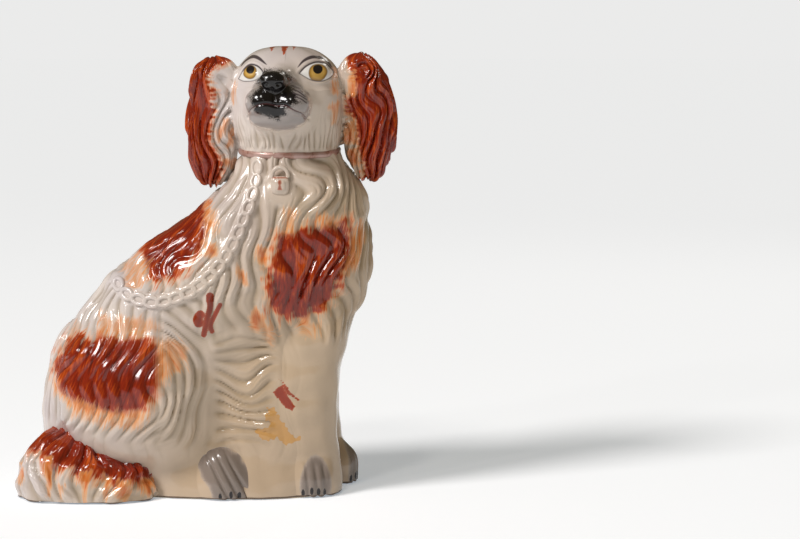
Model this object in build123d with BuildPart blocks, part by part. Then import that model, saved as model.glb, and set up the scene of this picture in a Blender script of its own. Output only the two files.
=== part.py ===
"""Sitting spaniel figurine: a hollow earthenware dog, pressed in plaster moulds and put together with slip.

The dog sits along X with its chest towards +X. Its head is turned to its own right, so that it looks along -Y,
and that side is the decorated one. The origin is on the table, under the middle of the figure, and Z is up.
Two body halves and two head halves meet at one upright seam. A flat slab closes the base. The forelegs, hind
paws, tail and ears are pressed separately and luted on. The collar, padlock and chain are sprigged on. Rolls
and strips of clay reinforce the joints inside. Sizes are in millimetres.
"""

import os

from build123d import *

# Driving dimensions
HEIGHT = 322.0  # table to the top of the head
WALL = 5.0  # pressed clay wall
SLAB = 6.0  # base slab thickness
SEAM_Y = 4.0  # plane where the front and back halves meet
NECK_Z = 246.0  # where the head is luted to the body, under the collar
LUTING = 3.0  # thickness of the clay rolls and strips inside the joints
LUTING_WIDTH = 9.0
VENT_RADIUS = 4.0  # lets kiln gases out of the closed body
BRIDGE = (70.0, 14.0, 34.0, 27.0)  # clay between the forefeet, part of the slab: x, y and half sizes

# Level sections of the trunk: height, back x, front x, right-side y, left-side y
TRUNK = [
    (SLAB, -114.0, 62.0, -42.0, 50.0),
    (40.0, -122.0, 66.0, -47.0, 56.0),
    (80.0, -120.0, 72.0, -50.0, 58.0),
    (112.0, -108.0, 92.0, -50.0, 57.0),
    (135.0, -88.0, 108.0, -49.0, 56.0),
    (159.0, -68.0, 118.0, -48.0, 55.0),
    (194.0, -26.0, 117.0, -44.0, 50.0),
    (217.0, 5.0, 114.0, -40.0, 46.0),
    (235.0, 20.0, 100.0, -34.0, 41.0),
    (NECK_Z, 23.0, 95.0, -31.0, 39.0),
]
# Level sections of the head, from the collar to the crown
HEAD = [
    (NECK_Z, 23.0, 95.0, -31.0, 39.0),
    (262.0, 20.0, 98.0, -34.0, 44.0),
    (284.0, 19.0, 99.0, -36.0, 46.0),
    (303.0, 24.0, 94.0, -33.0, 42.0),
    (315.0, 36.0, 83.0, -22.0, 30.0),
    (HEIGHT, 50.0, 69.0, -8.0, 14.0),
]
HOLLOW_CROWN = 5  # the head's hollow stops this many sections up

# Luted limbs, as level sections: height, centre x, centre y, half length along x, half width along y
RIGHT_FORELEG = [
    (SLAB, 76.0, -10.0, 22.0, 20.0),
    (18.0, 77.0, -11.0, 22.0, 21.0),
    (34.0, 73.0, -10.0, 22.0, 20.0),
    (62.0, 71.0, -12.0, 23.0, 22.0),
    (95.0, 74.0, -12.0, 23.0, 23.0),
    (118.0, 79.0, -10.0, 23.0, 22.0),
    (138.0, 82.0, -6.0, 18.0, 15.0),
]
LEFT_FORELEG = [
    (SLAB, 90.0, 31.0, 18.0, 17.0),
    (18.0, 90.0, 31.0, 18.0, 17.0),
    (34.0, 82.0, 31.0, 16.0, 15.0),
    (62.0, 78.0, 31.0, 16.0, 15.0),
    (95.0, 80.0, 31.0, 17.0, 16.0),
    (118.0, 84.0, 29.0, 19.0, 17.0),
    (138.0, 82.0, 26.0, 13.0, 12.0),
]
TAIL = [
    (SLAB, -86.0, -20.0, 50.0, 37.0),
    (16.0, -88.0, -21.0, 48.0, 36.0),
    (30.0, -94.0, -21.0, 38.0, 30.0),
    (41.0, -103.0, -18.0, 22.0, 19.0),
    (48.0, -110.0, -15.0, 9.0, 8.0),
]
HIND_PAW = [
    (SLAB, 15.0, 0.0, 19.0, 13.0),
    (18.0, 15.0, 0.5, 19.0, 13.0),
    (28.0, 12.0, 2.0, 15.0, 11.0),
    (36.0, 8.0, 4.0, 7.0, 6.0),
]
RIGHT_HIND_PAW_Y = -34.0
LEFT_HIND_PAW_Y = 42.0
EAR = [
    (224.0, 11.0, 4.0, 7.0, 6.0),
    (238.0, 6.0, 3.0, 15.5, 12.0),
    (256.0, 4.0, 2.0, 18.5, 14.0),
    (278.0, 5.0, 2.0, 18.5, 14.0),
    (296.0, 8.0, 3.0, 17.5, 13.0),
    (308.0, 13.0, 4.0, 14.5, 10.0),
    (316.0, 18.0, 5.0, 8.0, 6.0),
]
EAR_MIRROR_X = 60.5  # the head's own middle plane

# Thighs, as upright ovals that shrink towards their crown
THIGH_X, THIGH_Z = -55.0, 72.0
THIGH_HALF_LENGTH, THIGH_HALF_HEIGHT = 54.0, 56.0
THIGH_ROOT_Y = 20.0
THIGH_CROWN = 60.0  # distance of each thigh's crown from the XZ plane
THIGH_STEPS = ((0.0, 1.0), (0.55, 0.9), (0.85, 0.66), (1.0, 0.3))  # share of depth, share of size

# Muzzle: round sections along a line that points forward, a little to the dog's right and up
MUZZLE_ROOT = (57.0, -14.0, 279.0)
MUZZLE_DIRECTION = (-0.14, -0.95, 0.28)
MUZZLE = [(0.0, 26.0, 24.0), (20.0, 24.0, 22.0), (36.0, 20.0, 18.0), (48.0, 12.0, 10.0)]

# Sprigged collar, padlock and chain
COLLAR_PROUD, COLLAR_BELOW, COLLAR_ABOVE = 1.6, 1.5, 2.5
LOCK_X, LOCK_Z = 55.0, 224.0
LOCK_WIDTH, LOCK_HEIGHT, LOCK_CORNER = 15.0, 14.0, 5.0
LOCK_FACE_Y = -44.0
KEYHOLE_RADIUS, KEYHOLE_DEPTH = 1.3, 1.0
SHACKLE_RADIUS, SHACKLE_WIRE = 5.5, 1.9
CHAIN_PATH = [
    (39.0, 236.0),
    (33.0, 208.0),
    (19.0, 177.0),
    (-4.0, 153.0),
    (-33.0, 142.5),
    (-63.0, 156.0),
]
LINKS = 18
LINK_LENGTH, LINK_WIDTH, LINK_EYE_LENGTH, LINK_EYE_WIDTH = 9.2, 7.2, 5.0, 3.0
LINK_PROUD, LINK_SUNK = 2.2, 2.5
FAR = 400.0  # longer than anything here


def stack(sections, inset=0.0):
    """A smooth solid through level ellipses, each given by its ends along x and y."""
    with BuildPart() as form:
        for z, x_back, x_front, y_right, y_left in sections:
            with BuildSketch(Plane.XY.offset(z)):
                with Locations(((x_back + x_front) / 2, (y_right + y_left) / 2)):
                    # turned by 90 degrees, which puts the surface's own seam on the dog's left side
                    Ellipse((y_left - y_right) / 2 - inset, (x_front - x_back) / 2 - inset, rotation=90)
        loft()
    return form.part


def column(sections, mirror_x=None, shift_y=0.0):
    """A smooth solid through level ellipses, each given by its centre and half sizes."""
    ends = []
    for z, x, y, half_x, half_y in sections:
        middle = x if mirror_x is None else 2 * mirror_x - x
        ends.append((z, middle - half_x, middle + half_x, y + shift_y - half_y, y + shift_y + half_y))
    return stack(ends)


def thigh(side):
    """A domed oval on one flank; side is -1 on the dog's right and 1 on its left."""
    with BuildPart() as dome:
        for depth, size in THIGH_STEPS:
            y = side * (THIGH_ROOT_Y + (THIGH_CROWN - THIGH_ROOT_Y) * depth)
            with BuildSketch(Plane.XZ.offset(-y)):
                with Locations((THIGH_X, THIGH_Z)):
                    Ellipse(THIGH_HALF_LENGTH * size, THIGH_HALF_HEIGHT * size)
        loft()
    return dome.part


def between(low, high):
    """A block that holds everything between two heights."""
    return Pos(0, 0, (low + high) / 2) * Box(2 * FAR, 2 * FAR, high - low)


# Outer forms and hollows, which the pieces are cut from
trunk_form = stack(TRUNK)
skull_form = stack(HEAD)
right_thigh_form = thigh(-1)
left_thigh_form = thigh(1)
body_hollow = stack(TRUNK, WALL)
head_hollow = stack(HEAD[:HOLLOW_CROWN], WALL)
body_core = stack(TRUNK, WALL + LUTING)
head_core = stack(HEAD[:HOLLOW_CROWN], WALL + LUTING)

with BuildPart() as body_form:
    add(trunk_form)
    add(right_thigh_form)
    add(left_thigh_form)

with BuildPart() as head_form:
    add(skull_form)
    muzzle_plane = Plane(origin=MUZZLE_ROOT, x_dir=(1, 0, 0), z_dir=MUZZLE_DIRECTION)
    for along, half_x, half_y in MUZZLE:
        with BuildSketch(muzzle_plane.offset(along)):
            Ellipse(half_x, half_y)
    loft()

# Body halves: pressed shells that stand on the slab and meet at the seam
with BuildPart() as body_front_half:
    add(body_form.part)
    add(body_hollow, mode=Mode.SUBTRACT)
    split(bisect_by=Plane.XZ.offset(-SEAM_Y), keep=Keep.TOP)

with BuildPart() as body_back_half:
    add(body_form.part)
    add(body_hollow, mode=Mode.SUBTRACT)
    split(bisect_by=Plane.XZ.offset(-SEAM_Y), keep=Keep.BOTTOM)

# Head halves: the face with its muzzle, and the back of the head
with BuildPart() as head_front_half:
    add(head_form.part)
    add(head_hollow, mode=Mode.SUBTRACT)
    split(bisect_by=Plane.XZ.offset(-SEAM_Y), keep=Keep.TOP)

with BuildPart() as head_back_half:
    add(head_form.part)
    add(head_hollow, mode=Mode.SUBTRACT)
    split(bisect_by=Plane.XZ.offset(-SEAM_Y), keep=Keep.BOTTOM)

# Luting clay inside: a roll round the base, a ring in the neck, and strips that back the upright seam
base_roll_top = SLAB + LUTING_WIDTH
neck_ring_low = NECK_Z - LUTING_WIDTH / 2
neck_ring_high = NECK_Z + LUTING_WIDTH / 2
base_slice = between(SLAB, base_roll_top)
below_neck_slice = between(neck_ring_low, NECK_Z)
above_neck_slice = between(NECK_Z, neck_ring_high)
body_seam_slice = Pos(0, SEAM_Y, 0) * Box(2 * FAR, LUTING_WIDTH, 2 * FAR) & between(base_roll_top, neck_ring_low)
head_seam_slice = Pos(0, SEAM_Y, 0) * Box(2 * FAR, LUTING_WIDTH, 2 * FAR) & between(neck_ring_high, HEIGHT)

with BuildPart() as base_joint_roll:
    add(body_hollow)
    add(base_slice, mode=Mode.INTERSECT)
    add(body_core, mode=Mode.SUBTRACT)

with BuildPart() as neck_ring_below:
    add(body_hollow)
    add(below_neck_slice, mode=Mode.INTERSECT)
    add(body_core, mode=Mode.SUBTRACT)

with BuildPart() as neck_joint_ring:
    add(head_hollow)
    add(above_neck_slice, mode=Mode.INTERSECT)
    add(head_core, mode=Mode.SUBTRACT)
    add(neck_ring_below.part)

with BuildPart() as body_seam_strip:
    add(body_hollow)
    add(body_seam_slice, mode=Mode.INTERSECT)
    add(body_core, mode=Mode.SUBTRACT)

with BuildPart() as head_seam_strip:
    add(head_hollow)
    add(head_seam_slice, mode=Mode.INTERSECT)
    add(head_core, mode=Mode.SUBTRACT)

# Forelegs, hind paws and tail: pressed separately, shaped to the body where they are luted on
right_foreleg_form = column(RIGHT_FORELEG)
left_foreleg_form = column(LEFT_FORELEG)
right_hind_paw_form = column(HIND_PAW, shift_y=RIGHT_HIND_PAW_Y)
left_hind_paw_form = column([(z, x, -y, *halves) for z, x, y, *halves in HIND_PAW], shift_y=LEFT_HIND_PAW_Y)
tail_form = column(TAIL)

with BuildPart() as right_foreleg:
    add(right_foreleg_form)
    add(body_form.part, mode=Mode.SUBTRACT)

with BuildPart() as left_foreleg:
    add(left_foreleg_form)
    add(body_form.part, mode=Mode.SUBTRACT)
    add(right_foreleg_form, mode=Mode.SUBTRACT)

with BuildPart() as right_hind_paw:
    add(right_hind_paw_form)
    add(body_form.part, mode=Mode.SUBTRACT)

with BuildPart() as left_hind_paw:
    add(left_hind_paw_form)
    add(body_form.part, mode=Mode.SUBTRACT)

with BuildPart() as tail:
    add(tail_form)
    add(body_form.part, mode=Mode.SUBTRACT)

# Base slab: follows everything that stands on it, with the vent under the hollow
with BuildPart() as base_slab:
    with BuildSketch():
        _, x_back, x_front, y_right, y_left = TRUNK[0]
        with Locations(((x_back + x_front) / 2, (y_right + y_left) / 2)):
            Ellipse((x_front - x_back) / 2, (y_left - y_right) / 2)
        for x, y, half_x, half_y in (RIGHT_FORELEG[0][1:], LEFT_FORELEG[0][1:], TAIL[0][1:], BRIDGE):
            with Locations((x, y)):
                Ellipse(half_x, half_y)
        _, x, _, half_x, half_y = HIND_PAW[0]
        with Locations((x, RIGHT_HIND_PAW_Y), (x, LEFT_HIND_PAW_Y)):
            Ellipse(half_x, half_y)
    extrude(amount=SLAB)
    with Locations((THIGH_X, 0, SLAB)):
        Hole(VENT_RADIUS)

# Collar: a flat band round the neck that hides the joint
with BuildPart() as collar_band:
    _, x_back, x_front, y_right, y_left = HEAD[0]
    with BuildSketch(Plane.XY.offset(NECK_Z - COLLAR_BELOW)):
        with Locations(((x_back + x_front) / 2, (y_right + y_left) / 2)):
            Ellipse((y_left - y_right) / 2 + COLLAR_PROUD, (x_front - x_back) / 2 + COLLAR_PROUD, rotation=90)
    extrude(amount=COLLAR_BELOW + COLLAR_ABOVE)
    add(trunk_form, mode=Mode.SUBTRACT)
    add(skull_form, mode=Mode.SUBTRACT)

# Ears: hanging flaps, shaped to the head, the collar and the shoulders
right_ear_form = column(EAR)
left_ear_form = column(EAR, mirror_x=EAR_MIRROR_X)

with BuildPart() as right_ear:
    add(right_ear_form)
    add(head_form.part, mode=Mode.SUBTRACT)
    add(body_form.part, mode=Mode.SUBTRACT)
    add(collar_band.part, mode=Mode.SUBTRACT)

with BuildPart() as left_ear:
    add(left_ear_form)
    add(head_form.part, mode=Mode.SUBTRACT)
    add(body_form.part, mode=Mode.SUBTRACT)
    add(collar_band.part, mode=Mode.SUBTRACT)

# Padlock: a rounded case with a keyhole, and a half-ring shackle above it
with BuildPart() as padlock_case:
    with BuildSketch(Plane.XZ.offset(-LOCK_FACE_Y)):
        with Locations((LOCK_X, LOCK_Z)):
            RectangleRounded(LOCK_WIDTH, LOCK_HEIGHT, LOCK_CORNER)
    extrude(amount=LOCK_FACE_Y - SEAM_Y)
    fillet(padlock_case.edges().group_by(Axis.Y)[0], 1.5)
    with BuildSketch(Plane.XZ.offset(-LOCK_FACE_Y)):
        with Locations((LOCK_X, LOCK_Z)):
            Circle(KEYHOLE_RADIUS)
    extrude(amount=-KEYHOLE_DEPTH, mode=Mode.SUBTRACT)
    add(body_form.part, mode=Mode.SUBTRACT)

with BuildPart() as padlock_shackle:
    shackle_plane = Plane(
        origin=(LOCK_X, LOCK_FACE_Y + 2 * SHACKLE_WIRE, LOCK_Z + LOCK_HEIGHT / 2), x_dir=(1, 0, 0), z_dir=(0, -1, 0)
    )
    with Locations(shackle_plane):
        Torus(SHACKLE_RADIUS, SHACKLE_WIRE, major_angle=180)
    add(body_form.part, mode=Mode.SUBTRACT)
    add(padlock_case.part, mode=Mode.SUBTRACT)

# Chain: oval links along a curve that hangs from the collar and runs to the back
with BuildLine(Plane.XZ) as chain_line:
    chain_curve = Spline(*CHAIN_PATH)

links = []
for number in range(LINKS):
    share = (number + 0.5) / LINKS
    above = Vector(chain_curve @ share) - Vector(0, FAR, 0)
    along = chain_curve % share
    hits = body_form.part.find_intersection_points(Axis(above, (0, 1, 0)))
    point, normal = min(hits, key=lambda hit: hit[0].Y)
    outward = normal if normal.Y < 0 else normal * -1
    with BuildPart() as link:
        with BuildSketch(Plane(origin=point - outward * LINK_SUNK, x_dir=along, z_dir=outward)):
            SlotOverall(LINK_LENGTH, LINK_WIDTH)
            SlotOverall(LINK_EYE_LENGTH, LINK_EYE_WIDTH, mode=Mode.SUBTRACT)
        extrude(amount=LINK_SUNK + LINK_PROUD)
        add(body_form.part, mode=Mode.SUBTRACT)
    links.append(link.part)
chain_links = Compound(children=links)

pieces = {
    "base_slab": base_slab.part,
    "body_front_half": body_front_half.part,
    "body_back_half": body_back_half.part,
    "head_front_half": head_front_half.part,
    "head_back_half": head_back_half.part,
    "base_joint_roll": base_joint_roll.part,
    "neck_joint_ring": neck_joint_ring.part,
    "body_seam_strip": body_seam_strip.part,
    "head_seam_strip": head_seam_strip.part,
    "right_foreleg": right_foreleg.part,
    "left_foreleg": left_foreleg.part,
    "right_hind_paw": right_hind_paw.part,
    "left_hind_paw": left_hind_paw.part,
    "tail": tail.part,
    "right_ear": right_ear.part,
    "left_ear": left_ear.part,
    "collar_band": collar_band.part,
    "padlock_case": padlock_case.part,
    "padlock_shackle": padlock_shackle.part,
    "chain_links": chain_links,
}

os.makedirs("parts", exist_ok=True)
for name, piece in pieces.items():
    piece.label = name
    export_step(piece, f"parts/{name}.step")
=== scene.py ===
"""Sitting spaniel mantel figure in glazed earthenware: the visible pieces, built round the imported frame.

Shapes are worked out in millimetres, in the frame's own axes: the chest is towards +X, the decorated side and
the face are towards -Y, and Z is up from the table. Meshes are written in metres.
"""

import math

import bpy
import numpy as np
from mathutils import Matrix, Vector


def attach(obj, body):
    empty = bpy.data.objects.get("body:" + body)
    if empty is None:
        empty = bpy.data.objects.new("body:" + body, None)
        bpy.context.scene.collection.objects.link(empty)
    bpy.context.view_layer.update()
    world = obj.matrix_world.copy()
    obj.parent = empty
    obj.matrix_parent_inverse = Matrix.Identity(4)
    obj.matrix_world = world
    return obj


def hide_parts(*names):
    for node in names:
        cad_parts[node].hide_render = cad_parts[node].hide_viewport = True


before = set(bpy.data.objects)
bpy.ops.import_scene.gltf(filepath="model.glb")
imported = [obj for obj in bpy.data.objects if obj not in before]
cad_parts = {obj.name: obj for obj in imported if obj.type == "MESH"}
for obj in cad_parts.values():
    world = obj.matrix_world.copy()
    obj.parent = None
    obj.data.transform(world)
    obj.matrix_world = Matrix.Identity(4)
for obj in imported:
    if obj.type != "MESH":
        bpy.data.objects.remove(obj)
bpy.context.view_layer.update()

# ------------------------------------------------------------------------------
# The setting: a pale table, an even pale surround, a broad soft light from the upper left and four small
# window lights that draw the highlights on the glaze. The camera looks a little down on the figure.

MM = 0.001
VIEW_X = 0.1396  # the figure stands left of the middle, where its partner would leave room for it
VIEW_Z = 0.161
CAMERA_DISTANCE = 1.5
CAMERA_HEIGHT = 0.324
LENS, SENSOR = 93.7, 36.0
TABLE_REACH = 40.0
WARM = (1.0, 0.97, 0.93)
WINDOWS = (  # name, place, height of the window, power and colour
    ("window_left", (-0.85, -1.15, 0.95), 0.15, 1.7, (1.0, 0.97, 0.99)),
    ("window_front", (0.3, -1.7, 1.1), 0.11, 0.4, WARM),
    ("window_above", (-0.15, -0.75, 1.3), 0.22, 2.4, WARM),
    ("window_back", (0.7, 1.5, 1.2), 0.3, 1.0, (1.0, 0.96, 0.9)),
)


def placed(name, data, place=(0.0, 0.0, 0.0), target=None):
    """Puts an object into the scene; a camera or light is turned so that its -Z axis points at the target."""
    made = bpy.data.objects.new(name, data)
    made.location = place
    if target:
        made.rotation_euler = (made.location - Vector(target)).to_track_quat("Z", "Y").to_euler()
    bpy.context.scene.collection.objects.link(made)
    return made


def lamp(name, kind, place, target, **settings):
    """A light of one kind with its settings, aimed at a target."""
    data = bpy.data.lights.new(name, kind)
    for key, value in settings.items():
        setattr(data, key, value)
    placed(name, data, place, target)


def add_node(tree, kind, inputs=None, **settings):
    """A shader node whose inputs are values or other nodes' outputs."""
    made = tree.nodes.new("ShaderNode" + kind)
    for key, value in settings.items():
        setattr(made, key, value)
    for key, value in (inputs or {}).items():
        if isinstance(value, bpy.types.NodeSocket):
            tree.links.new(value, made.inputs[key])
        else:
            made.inputs[key].default_value = value
    return made


camera_data = bpy.data.cameras.new("camera")
camera_data.lens, camera_data.sensor_width, camera_data.clip_end = LENS, SENSOR, 100.0
bpy.context.scene.camera = placed("camera", camera_data, (VIEW_X, -CAMERA_DISTANCE, CAMERA_HEIGHT),
                                  (VIEW_X, 0.0, VIEW_Z))
for window, place, height, power, colour in WINDOWS:
    lamp(window, "AREA", place, (0.0, 0.0, VIEW_Z), shape="RECTANGLE", size=height * 0.6, size_y=height,
         energy=power, color=colour)
lamp("soft_daylight", "SUN", (-1.85, -1.3, 1.9), (0.0, 0.0, 0.0), energy=2.3, color=(1.0, 0.975, 0.975),
     angle=math.radians(17))

# the surround lights the figure dimly and warmly, and is pale where the camera sees it
world = bpy.data.worlds.new("surround")
world.use_nodes = True
air = world.node_tree
dim = air.nodes["Background"]
dim.inputs["Color"].default_value = (0.135, 0.108, 0.062, 1)
pale = add_node(air, "Background", {"Color": (0.83, 0.83, 0.825, 1)})
pick = add_node(air, "MixShader", {"Fac": add_node(air, "LightPath").outputs["Is Camera Ray"],
                                   1: dim.outputs[0], 2: pale.outputs[0]})
air.links.new(pick.outputs[0], air.nodes["World Output"].inputs["Surface"])
bpy.context.scene.world = world
bpy.context.scene.view_settings.view_transform = "Standard"

table_mesh = bpy.data.meshes.new("table")
corners = [(x * TABLE_REACH, y * TABLE_REACH, 0) for x, y in ((-1, -1), (1, -1), (1, 1), (-1, 1))]
table_mesh.from_pydata(corners, [], [(0, 1, 2, 3)])
paper = bpy.data.materials.new("pale_paper")
paper.use_nodes = True
for socket, value in (("Base Color", (0.93, 0.93, 0.925, 1)), ("Roughness", 0.9), ("Specular IOR Level", 0.0),
                      ("Emission Color", (0.775, 0.882, 1.0, 1)), ("Emission Strength", 0.34)):
    paper.node_tree.nodes["Principled BSDF"].inputs[socket].default_value = value
table_mesh.materials.append(paper)
placed("table", table_mesh)

# ------------------------------------------------------------------------------
# Body halves: two pressed earthenware shells that meet at an upright seam, with the thighs pressed in one with
# them. The fur is carved in the mould as long wavy locks, and the glaze is cream with iron-red patches.

SEAM_Y = 4.0
FOOT_Z = 0.8  # the glaze stops just above the table
NECK_Z = 246.0
WALL = 5.0
# level sections of the trunk: height, back x, front x, decorated-side y, plain-side y
TRUNK = np.array([
    (-20.0, -112.0, 58.0, -34.0, 46.0),
    (0.0, -114.0, 60.0, -34.0, 48.0),
    (20.0, -119.0, 62.0, -35.0, 52.0),
    (45.0, -122.0, 65.0, -36.0, 55.0),
    (80.0, -120.0, 74.0, -37.0, 56.0),
    (112.0, -108.0, 94.0, -42.0, 56.0),
    (135.0, -88.0, 111.0, -47.0, 55.0),
    (159.0, -69.0, 118.5, -48.0, 54.0),
    (182.0, -40.0, 118.5, -46.0, 51.0),
    (205.0, -7.0, 116.0, -43.0, 47.0),
    (219.0, 8.0, 113.5, -40.0, 44.0),
    (233.0, 19.0, 104.0, -35.0, 41.0),
    (246.0, 24.0, 96.0, -32.0, 39.0),
    (262.0, 24.0, 96.0, -32.0, 39.0),
])


def unit(vectors):
    """Each vector divided by its length."""
    return vectors / np.maximum(np.linalg.norm(vectors, axis=-1, keepdims=True), 1e-9)


def smooth(low, high, value):
    """0 below low, 1 above high, and an S-curve between."""
    share = np.clip((value - low) / (high - low), 0.0, 1.0)
    return share * share * (3.0 - 2.0 * share)


def rounded(knots, values, finer=24):
    """A smooth curve through values at rising knots, as a dense table for np.interp: cubic spans whose slope at
    each knot is that of the line between its neighbours."""
    slopes = np.gradient(values, knots)
    share = np.linspace(0.0, 1.0, finer, endpoint=False)[None, :]
    step = np.diff(knots)[:, None]
    a, b = values[:-1, None], values[1:, None]
    m, n = slopes[:-1, None] * step, slopes[1:, None] * step
    cubic = a + m * share + (3 * (b - a) - 2 * m - n) * share**2 + (2 * (a - b) + m + n) * share**3
    places = knots[:-1, None] + step * share
    return np.append(places.ravel(), knots[-1]), np.append(cubic.ravel(), values[-1])


def union(first, second, soft):
    """The nearer of two distances, with a fillet of about `soft` where they are alike."""
    share = np.clip(0.5 + 0.5 * (second - first) / soft, 0.0, 1.0)
    return second + (first - second) * share - soft * share * (1.0 - share)


def egg(points, centre, halves, square=2.0, turn=None):
    """Distance to a rounded body with the given half sizes: its level number less one, over the level's slope.
    square is 2 for an ellipsoid and more for a boxier one; turn is a matrix whose columns are its axes."""
    place = points - np.array(centre)
    if turn is not None:
        place = place @ turn
    halves = np.array(halves)
    scaled = np.abs(place / halves) + 1e-6
    level = np.sum(scaled**square, axis=-1) ** (1.0 / square)
    slope = np.linalg.norm(scaled ** (square - 1.0) / halves, axis=-1) * level ** (1.0 - square)
    return (level - 1.0) / slope


def section_at(z, sections):
    """Middle x, middle y and the two half sizes of a column's level section at each height."""
    back, front, right, left = (np.interp(z, *rounded(sections[:, 0], sections[:, i])) for i in range(1, 5))
    return (back + front) / 2, (right + left) / 2, (front - back) / 2, (left - right) / 2


def stack(points, sections, square=2.3):
    """Distance to a column of level rounded sections (height, back x, front x, right y, left y)."""
    middle_x, middle_y, half_x, half_y = section_at(points[..., 2], sections)
    across = np.abs((points[..., 0] - middle_x) / half_x) + 1e-6
    deep = np.abs((points[..., 1] - middle_y) / half_y) + 1e-6
    level = (across**square + deep**square) ** (1.0 / square)
    slope = np.hypot(across ** (square - 1) / half_x, deep ** (square - 1) / half_y) * level ** (1 - square)
    return (level - 1.0) / slope


def tilt(about_y=0.0, about_x=0.0, about_z=0.0):
    """A turning matrix from three angles in degrees."""
    y, x, z = np.radians((about_y, about_x, about_z))
    turn_y = np.array([[np.cos(y), 0, np.sin(y)], [0, 1, 0], [-np.sin(y), 0, np.cos(y)]])
    turn_x = np.array([[1, 0, 0], [0, np.cos(x), -np.sin(x)], [0, np.sin(x), np.cos(x)]])
    turn_z = np.array([[np.cos(z), -np.sin(z), 0], [np.sin(z), np.cos(z), 0], [0, 0, 1]])
    return turn_z @ turn_y @ turn_x


def body_field(points):
    """Trunk, thighs, the broad column behind the near foreleg, and the foot that joins the paws."""
    skin = stack(points, TRUNK)
    skin = union(skin, egg(points, (-50, -22, 74), (56, 37, 53), 2.2, tilt(12)), 10)
    skin = union(skin, egg(points, (-50, 30, 74), (56, 29, 53), 2.2, tilt(12)), 14)
    skin = union(skin, egg(points, (46, -4, 62), (41, 33, 90), 2.6), 7)
    return union(skin, egg(points, (24, -6, 0), (66, 35, 30), 2.4), 12)


def land(start, towards, field, steps=90):
    """Walks each point along its line until it stands on the skin: every step is most of the distance left."""
    shape = start.shape[:-1]
    spot = start.reshape(-1, 3).copy()
    heading = np.broadcast_to(towards, start.shape).reshape(-1, 3)
    going = np.arange(len(spot))
    for _ in range(steps):
        gap = field(spot[going])
        spot[going] += heading[going] * np.clip(gap * 0.85, -6.0, 30.0)[:, None]
        going = going[np.abs(gap) > 0.01]
        if not len(going):
            break
    return spot.reshape(*shape, 3)


def facing(grid, wraps=False):
    """Unit normals of a grid of points: the cross product of its two directions."""
    if wraps:
        padded = np.concatenate([grid[:, -1:], grid, grid[:, :1]], axis=1)
        along = np.gradient(padded, axis=1)[:, 1:-1]
    else:
        along = np.gradient(grid, axis=1)
    return unit(np.cross(along, np.gradient(grid, axis=0)))


def ripple(a, b, size, seed):
    """A soft random swell of about +-1 over the plane (a, b): six sine waves of random heading and phase."""
    chance = np.random.default_rng(seed)
    total = 0.0
    for _ in range(6):
        heading = chance.uniform(0, 2 * np.pi)
        pace = 2 * np.pi / size * chance.uniform(0.6, 1.5)
        phase = chance.uniform(0, 2 * np.pi)
        total = total + np.sin(pace * (a * np.cos(heading) + b * np.sin(heading)) + phase)
    return total / 2.4


def locks(across, along, width, length, wave, seed):
    """Carved locks of hair, from 0 in the cuts to 1 on the backs. They lie `width` apart, sway by `wave` over
    `length`, swell towards a tip and start again, each at its own place, and carry finer strands."""
    sway = wave * np.sin(2 * np.pi * along / length + across / (width * 2.2))
    sway = sway + 0.35 * width * ripple(across, along, length * 0.8, seed)
    strip = (across + sway) / width
    number = np.floor(strip)
    share = strip - number
    chance = np.abs(np.sin(number * 12.9898 + seed) * 43758.5453) % 1.0
    run = (along / length * 0.8 + chance * 2.0) % 1.0
    tip = 0.45 + 0.55 * smooth(0.0, 0.75, run) * (1.0 - smooth(0.86, 1.0, run))
    back = np.sin(np.pi * share) ** 0.75
    strand = np.abs(np.sin(np.pi * 3.0 * (share + 0.12 * ripple(across, along, length * 0.5, seed + 5))))
    return tip * (0.78 * back + 0.22 * back * strand)


def curve_points(knots, finer=10):
    """Dense points on a smooth plane curve through a short list of points."""
    knots = np.array(knots, float)
    number = np.arange(len(knots), dtype=float)
    return np.stack([rounded(number, knots[:, i], finer)[1] for i in (0, 1)], axis=1)


def near_line(x, z, line):
    """Distance in the (x, z) plane to a broken line, and the share of its length where the nearest spot is."""
    best = np.full(x.shape, 1e9)
    where = np.zeros(x.shape)
    lengths = np.linalg.norm(np.diff(line, axis=0), axis=1)
    gone = np.concatenate([[0], np.cumsum(lengths)])
    for i, length in enumerate(lengths):
        run_x, run_z = (line[i + 1] - line[i]) / length
        along = np.clip((x - line[i, 0]) * run_x + (z - line[i, 1]) * run_z, 0.0, length)
        gap = np.hypot(x - line[i, 0] - along * run_x, z - line[i, 1] - along * run_z)
        closer = gap < best
        best = np.where(closer, gap, best)
        where = np.where(closer, (gone[i] + along) / gone[-1], where)
    return best, where


def inside(x, z, outline):
    """Signed distance in the (x, z) plane to a closed outline, positive inside it."""
    outline = np.array(outline, float)
    gap, _ = near_line(x, z, np.vstack([outline, outline[:1]]))
    turns = np.zeros(x.shape, bool)
    for (ax, az), (bx, bz) in zip(outline, np.roll(outline, -1, axis=0)):
        if az != bz:
            crosses = ((az > z) != (bz > z)) & (x < (bx - ax) * (z - az) / (bz - az) + ax)
            turns ^= crosses
    return np.where(turns, gap, -gap)


# the chain's line over the shoulder, and the places that stay smooth for it and for the padlock
CHAIN_LINE = curve_points([(39, 241), (38, 226), (31, 204), (18, 176), (-1, 155), (-28, 143), (-48, 145),
                           (-57, 150), (-63, 157)])
LOCK_X, LOCK_Z = 55.0, 224.0
HAUNCH_X, HAUNCH_Z = -50.0, 80.0  # the hair of the thigh turns round this place


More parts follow.
